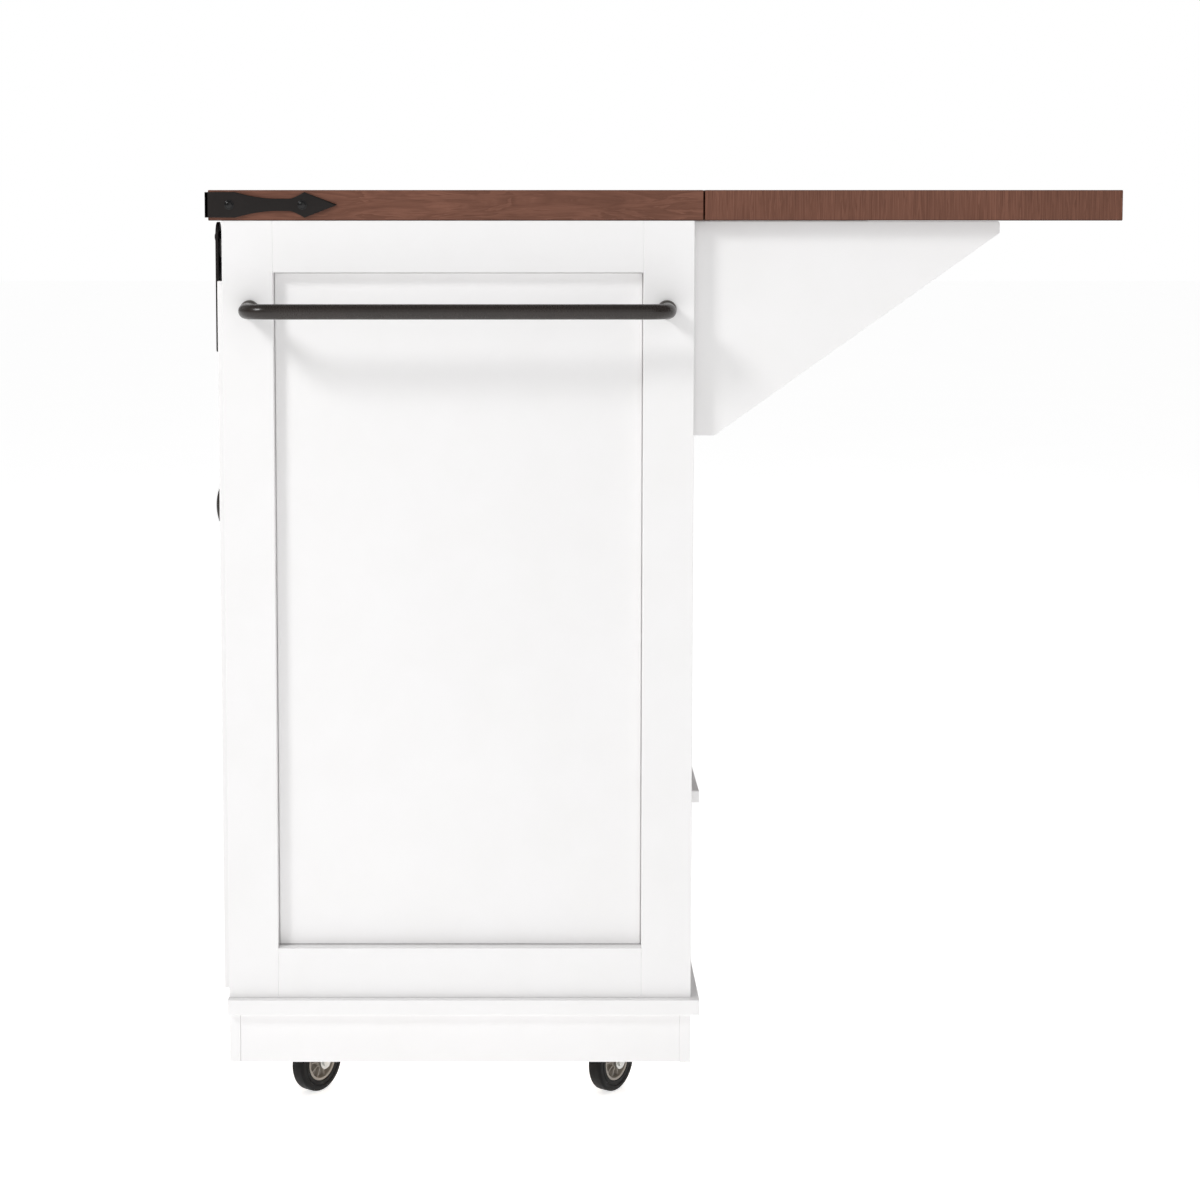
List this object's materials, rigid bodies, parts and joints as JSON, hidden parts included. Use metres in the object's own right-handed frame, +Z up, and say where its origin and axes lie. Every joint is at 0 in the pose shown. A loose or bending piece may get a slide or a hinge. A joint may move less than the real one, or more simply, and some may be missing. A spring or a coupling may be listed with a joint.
{
  "type": "kitchen island cart",
  "caption": "White cabinet on swivel castors with a brown wooden top, a drop leaf on swing-out brackets, sliding doors, open shelves and a towel bar",
  "frame": {"origin": "on the floor, under the middle of the whole object with the leaf raised and the brackets out", "axes": "+X to the side with the towel bar, +Y from the doors at the front to the drop leaf at the rear, +Z up"},
  "size_m": [1.1505, 0.93, 0.932],
  "materials": {
    "white_lacquer": "satin white lacquer on board",
    "stained_wood": "brown stained wood, satin clear coat",
    "plain_wood": "unfinished softwood",
    "black_iron": "black-brown powder coat",
    "collar_steel": "dark grey powder coat",
    "zinc_steel": "bright zinc plate",
    "black_plastic": "moulded, fine texture",
    "hub": "pale grey moulded plastic",
    "tyre": "black polyurethane tread"
  },
  "bodies": {
    "cabinet": {"back_panel": "white_lacquer", "base_board": "white_lacquer", "bracket_hinge_frames": "zinc_steel", "castor_battens": "plain_wood", "castor_plates": "zinc_steel", "corner_bolts": "black_iron", "corner_straps": "black_iron", "door_guides": "black_iron", "front_rail": "white_lacquer", "hinge_rail": "white_lacquer", "left_side_panel": "white_lacquer", "left_side_rails": "white_lacquer", "left_side_stiles": "white_lacquer", "partitions": "white_lacquer", "plinth_boards": "white_lacquer", "rail_fixings": "black_iron", "rail_stops": "black_iron", "rear_shelf": "white_lacquer", "right_side_panel": "white_lacquer", "right_side_rails": "white_lacquer", "right_side_stiles": "white_lacquer", "shelf_pins": "zinc_steel", "shelves": "white_lacquer", "slide_rail": "black_iron", "table_top": "stained_wood", "top_hinge_plates": "zinc_steel", "towel_bar": "black_iron", "towel_bar_collars": "collar_steel"},
    "left_door": {"left_door_frame": "white_lacquer", "left_door_panel": "white_lacquer", "left_door_handle": "black_iron", "left_door_hangers": "black_iron"},
    "left_outer_hanger_wheel": {"left_outer_hanger_wheel": "black_iron"},
    "left_inner_hanger_wheel": {"left_inner_hanger_wheel": "black_iron"},
    "left_bracket": {"left_bracket": "white_lacquer", "left_bracket_hinge_plates": "zinc_steel"},
    "right_door": {"right_door_frame": "white_lacquer", "right_door_panel": "white_lacquer", "right_door_handle": "black_iron", "right_door_hangers": "black_iron"},
    "right_outer_hanger_wheel": {"right_outer_hanger_wheel": "black_iron"},
    "right_inner_hanger_wheel": {"right_inner_hanger_wheel": "black_iron"},
    "right_bracket": {"right_bracket": "white_lacquer", "right_bracket_hinge_plates": "zinc_steel"},
    "drop_leaf": {"drop_leaf": "stained_wood", "leaf_hinge_plates": "zinc_steel"},
    "front_left_fork": {"front_left_fork": "zinc_steel"},
    "front_left_wheel": {"front_left_hub": "hub", "front_left_tyre": "tyre"},
    "front_left_brake_pedal": {"front_left_brake_pedal": "black_plastic"},
    "front_right_fork": {"front_right_fork": "zinc_steel"},
    "front_right_wheel": {"front_right_hub": "hub", "front_right_tyre": "tyre"},
    "front_right_brake_pedal": {"front_right_brake_pedal": "black_plastic"},
    "rear_left_fork": {"rear_left_fork": "zinc_steel"},
    "rear_left_wheel": {"rear_left_hub": "hub", "rear_left_tyre": "tyre"},
    "rear_right_fork": {"rear_right_fork": "zinc_steel"},
    "rear_right_wheel": {"rear_right_hub": "hub", "rear_right_tyre": "tyre"}
  },
  "joints": [
    {"name": "left_door_slide", "type": "slide", "parent": "cabinet", "child": "left_door", "axis": [1, 0, 0], "range_m": [0, 0.221]},
    {"name": "left_outer_hanger_wheel_spin", "type": "hinge", "parent": "left_door", "child": "left_outer_hanger_wheel", "pos_m": [-0.52025, -0.4215, 0.8856], "axis": [0, 1, 0], "range_deg": [0, 1010]},
    {"name": "left_inner_hanger_wheel_spin", "type": "hinge", "parent": "left_door", "child": "left_inner_hanger_wheel", "pos_m": [-0.27625, -0.4215, 0.8856], "axis": [0, 1, 0], "range_deg": [0, 1010]},
    {"name": "left_bracket_swing", "type": "hinge", "parent": "cabinet", "child": "left_bracket", "pos_m": [-0.53255, 0.0397, 0.795], "axis": [0, 0, -1], "range_deg": [0, 90]},
    {"name": "right_door_slide", "type": "slide", "parent": "cabinet", "child": "right_door", "axis": [-1, 0, 0], "range_m": [0, 0.221]},
    {"name": "right_outer_hanger_wheel_spin", "type": "hinge", "parent": "right_door", "child": "right_outer_hanger_wheel", "pos_m": [0.46575, -0.4215, 0.8856], "axis": [0, -1, 0], "range_deg": [0, 1010]},
    {"name": "right_inner_hanger_wheel_spin", "type": "hinge", "parent": "right_door", "child": "right_inner_hanger_wheel", "pos_m": [0.22175, -0.4215, 0.8856], "axis": [0, -1, 0], "range_deg": [0, 1010]},
    {"name": "right_bracket_swing", "type": "hinge", "parent": "cabinet", "child": "right_bracket", "pos_m": [0.47805, 0.0397, 0.795], "axis": [0, 0, 1], "range_deg": [0, 90]},
    {"name": "leaf_lift", "type": "hinge", "parent": "cabinet", "child": "drop_leaf", "pos_m": [-0.02725, 0.05325, 0.8985], "axis": [1, 0, 0], "range_deg": [0, 2.4]},
    {"name": "front_left_swivel", "type": "hinge", "parent": "cabinet", "child": "front_left_fork", "pos_m": [-0.47725, -0.328, 0.07], "axis": [0, 0, 1], "continuous": true},
    {"name": "front_left_wheel_spin", "type": "hinge", "parent": "front_left_fork", "child": "front_left_wheel", "pos_m": [-0.46107, -0.33976, 0.032], "axis": [0.5878, 0.809, 0], "continuous": true},
    {"name": "front_left_brake_press", "type": "hinge", "parent": "front_left_fork", "child": "front_left_brake_pedal", "pos_m": [-0.45298, -0.34563, 0.07], "axis": [0.5878, 0.809, 0], "range_deg": [0, 10]},
    {"name": "front_right_swivel", "type": "hinge", "parent": "cabinet", "child": "front_right_fork", "pos_m": [0.42275, -0.328, 0.07], "axis": [0, 0, 1], "continuous": true},
    {"name": "front_right_wheel_spin", "type": "hinge", "parent": "front_right_fork", "child": "front_right_wheel", "pos_m": [0.43893, -0.33976, 0.032], "axis": [0.5878, 0.809, 0], "continuous": true},
    {"name": "front_right_brake_press", "type": "hinge", "parent": "front_right_fork", "child": "front_right_brake_pedal", "pos_m": [0.44702, -0.34563, 0.07], "axis": [0.5878, 0.809, 0], "range_deg": [0, 10]},
    {"name": "rear_left_swivel", "type": "hinge", "parent": "cabinet", "child": "rear_left_fork", "pos_m": [-0.47725, -0.022, 0.07], "axis": [0, 0, 1], "continuous": true},
    {"name": "rear_left_wheel_spin", "type": "hinge", "parent": "rear_left_fork", "child": "rear_left_wheel", "pos_m": [-0.46107, -0.03376, 0.032], "axis": [0.5878, 0.809, 0], "continuous": true},
    {"name": "rear_right_swivel", "type": "hinge", "parent": "cabinet", "child": "rear_right_fork", "pos_m": [0.42275, -0.022, 0.07], "axis": [0, 0, 1], "continuous": true},
    {"name": "rear_right_wheel_spin", "type": "hinge", "parent": "rear_right_fork", "child": "rear_right_wheel", "pos_m": [0.43893, -0.03376, 0.032], "axis": [0.5878, 0.809, 0], "continuous": true}
  ],
  "couplings": [
    {"joint": "left_outer_hanger_wheel_spin", "follows": "left_door_slide", "rad_per_m": 79.365},
    {"joint": "left_inner_hanger_wheel_spin", "follows": "left_door_slide", "rad_per_m": 79.365},
    {"joint": "right_outer_hanger_wheel_spin", "follows": "right_door_slide", "rad_per_m": 79.365},
    {"joint": "right_inner_hanger_wheel_spin", "follows": "right_door_slide", "rad_per_m": 79.365}
  ]
}
